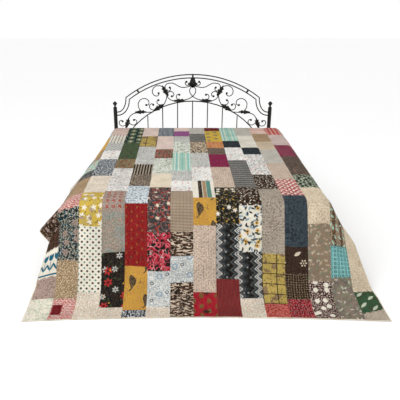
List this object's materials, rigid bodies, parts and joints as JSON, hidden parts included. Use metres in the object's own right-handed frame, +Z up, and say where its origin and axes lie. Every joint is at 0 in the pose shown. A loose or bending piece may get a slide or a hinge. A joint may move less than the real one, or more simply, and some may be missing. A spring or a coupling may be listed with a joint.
{
  "type": "patchwork quilt on an iron bed",
  "caption": "Patchwork quilt of sewn strips spread over a double mattress and down to the floor at the foot of an iron bed with a scrolled, arched headboard.",
  "frame": {"origin": "on the floor, under the middle of the whole object's box", "axes": "+Y from the foot of the bed to its headboard, +Z up, +X to the right of someone who stands at the foot"},
  "size_m": [2.286, 2.5078, 1.1332],
  "materials": {
    "patched_cotton": "matt printed cotton patches with running stitch",
    "maroon_cotton": "matt plain cotton",
    "ticking": "matt woven ticking",
    "black_iron": "satin black paint",
    "pine": "planed, unfinished"
  },
  "bodies": {
    "root": {"quilt": "patched_cotton", "sewn_patch": "maroon_cotton", "mattress": "ticking", "arch_rail_outer": "black_iron", "scrollwork": "black_iron", "head_post_left": "black_iron", "head_post_right": "black_iron", "finial_left": "black_iron", "finial_right": "black_iron", "head_rail": "black_iron", "tie_left": "black_iron", "tie_middle": "black_iron", "tie_right": "black_iron", "foot_leg_left": "black_iron", "foot_leg_right": "black_iron", "foot_rail": "black_iron", "side_rail_left": "black_iron", "side_rail_right": "black_iron", "middle_beam": "black_iron", "middle_leg_1": "black_iron", "middle_leg_2": "black_iron", "spindle_1": "black_iron", "spindle_2": "black_iron", "spindle_3": "black_iron", "spindle_4": "black_iron", "spindle_5": "black_iron", "spindle_6": "black_iron", "spindle_7": "black_iron", "spindle_8": "black_iron", "spindle_9": "black_iron", "slat_1": "pine", "slat_2": "pine", "slat_3": "pine", "slat_4": "pine", "slat_5": "pine", "slat_6": "pine", "slat_7": "pine", "slat_8": "pine", "slat_9": "pine", "slat_10": "pine", "slat_11": "pine"}
  },
  "joints": []
}
